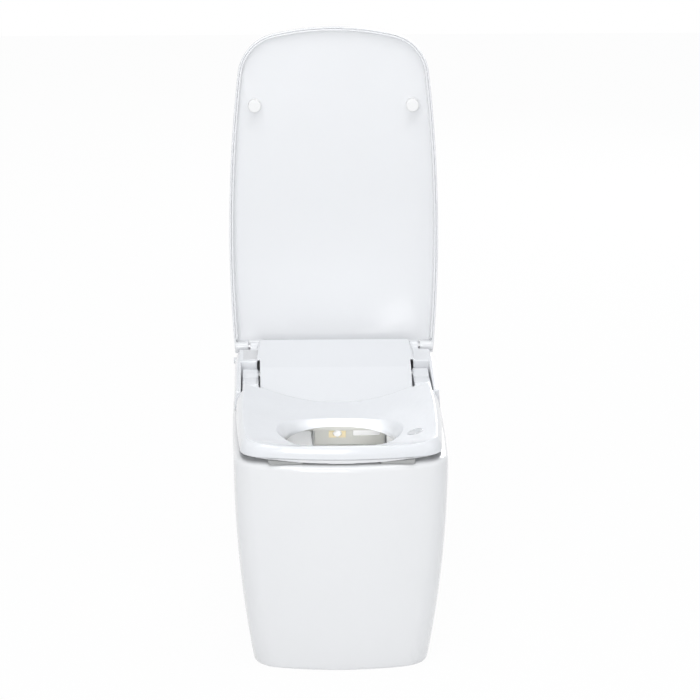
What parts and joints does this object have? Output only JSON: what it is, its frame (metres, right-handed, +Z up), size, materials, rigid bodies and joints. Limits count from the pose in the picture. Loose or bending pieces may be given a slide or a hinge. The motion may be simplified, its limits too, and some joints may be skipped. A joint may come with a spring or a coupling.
{
  "type": "smart toilet",
  "caption": "Floor-standing skirted smart toilet with hinged lid, heated seat, wash nozzle and dryer, lid shown open.",
  "frame": {"origin": "centre of the floor outlet, at the floor", "axes": "+X to the right seen from the front, -Y out of the front, +Z up"},
  "size_m": [0.41, 0.6939, 1.0924],
  "materials": {
    "ceramic": "glossy white vitreous glaze",
    "seat_plastic": "glossy white, faintly cool",
    "lid_plastic": "glossy white",
    "housing_plastic": "glossy white",
    "seat_base_plastic": "satin white",
    "bumper_rubber": "pale grey rubber",
    "window_plastic": "grey translucent window",
    "touch_metal": "bright metallic disc",
    "inner_plastic": "moulded off-white",
    "trough_plastic": "white",
    "collar_plastic": "amber translucent plastic",
    "nozzle_steel": "satin stainless",
    "gear_plastic": "natural acetal",
    "motor_steel": "plated steel",
    "pin_steel": "turned steel",
    "screw_steel": "plated steel",
    "seal_rubber": "black rubber",
    "heating_foil": "foil with printed track",
    "circuit": "green laminate",
    "filter_carbon": "carbon grey",
    "plate_steel": "zinc plated sheet",
    "brass": "turned brass",
    "hose": "grey hose",
    "dark_plastic": "black moulded"
  },
  "bodies": {
    "toilet": {"ceramic_body": "ceramic", "outlet_adapter": "inner_plastic", "outlet_seal": "seal_rubber", "floor_brackets": "plate_steel", "side_screws": "screw_steel", "screw_caps": "lid_plastic", "seat_dampers": "dark_plastic", "housing_cover": "housing_plastic", "status_window": "window_plastic", "base_tray": "trough_plastic", "nozzle_trough": "trough_plastic", "nozzle_motor": "motor_steel", "nozzle_guide": "inner_plastic", "nozzle_collar": "collar_plastic", "dryer_duct": "inner_plastic", "blower_case": "dark_plastic", "water_heater": "inner_plastic", "control_box": "inner_plastic", "circuit_board": "circuit", "odour_filter": "filter_carbon", "equipment_plate": "plate_steel", "flush_tank": "inner_plastic", "tank_cap": "dark_plastic", "flush_pump": "dark_plastic", "inlet_valve": "inner_plastic", "inlet_spud": "brass", "inlet_screen": "inner_plastic", "supply_hose": "hose", "cord_gland": "dark_plastic", "cover_screws": "screw_steel"},
    "lid": {"lid_shell": "lid_plastic", "lid_lining": "lid_plastic", "lid_bumpers": "bumper_rubber", "lid_hinge_pins": "pin_steel"},
    "seat": {"seat_top": "seat_plastic", "seat_base": "seat_base_plastic", "seat_heater": "heating_foil", "seat_bumpers": "bumper_rubber", "seat_hinge_pins": "pin_steel", "touch_disc": "touch_metal"},
    "nozzle": {"nozzle_tip": "nozzle_steel", "nozzle_tube": "nozzle_steel", "nozzle_rack": "gear_plastic"},
    "pinion": {"nozzle_pinion": "gear_plastic"},
    "flap": {"dryer_flap": "trough_plastic"},
    "fan": {"blower_wheel": "gear_plastic"},
    "button": {"flush_button": "housing_plastic"}
  },
  "joints": [
    {"name": "lid_hinge", "type": "hinge", "parent": "toilet", "child": "lid", "pos_m": [0, 0.225, 0.46], "axis": [-1, 0, 0], "range_deg": [-94, 0]},
    {"name": "seat_hinge", "type": "hinge", "parent": "toilet", "child": "seat", "pos_m": [0, 0.12, 0.431], "axis": [-1, 0, 0], "range_deg": [0, 92]},
    {"name": "nozzle_slide", "type": "slide", "parent": "toilet", "child": "nozzle", "axis": [0, -0.866, -0.5], "range_m": [0, 0.072]},
    {"name": "pinion_spin", "type": "hinge", "parent": "toilet", "child": "pinion", "pos_m": [0, -0.00425, 0.36028], "axis": [1, 0, 0], "range_deg": [-10, 599]},
    {"name": "flap_hinge", "type": "hinge", "parent": "toilet", "child": "flap", "pos_m": [0.056, -0.03963, 0.36756], "axis": [-1, 0, 0], "range_deg": [0, 60], "stiffness_Nm_per_rad": 0.002, "springref_deg": -17.19},
    {"name": "fan_spin", "type": "hinge", "parent": "toilet", "child": "fan", "pos_m": [0.1, 0.165, 0.43], "axis": [0, 0, 1], "continuous": true},
    {"name": "button_push", "type": "slide", "parent": "toilet", "child": "button", "axis": [1, 0, 0], "range_m": [0, 0.0025], "stiffness_N_per_m": 600, "springref_m": -0.002}
  ],
  "couplings": [
    {"joint": "pinion_spin", "follows": "nozzle_slide", "rad_per_m": 142.86}
  ]
}
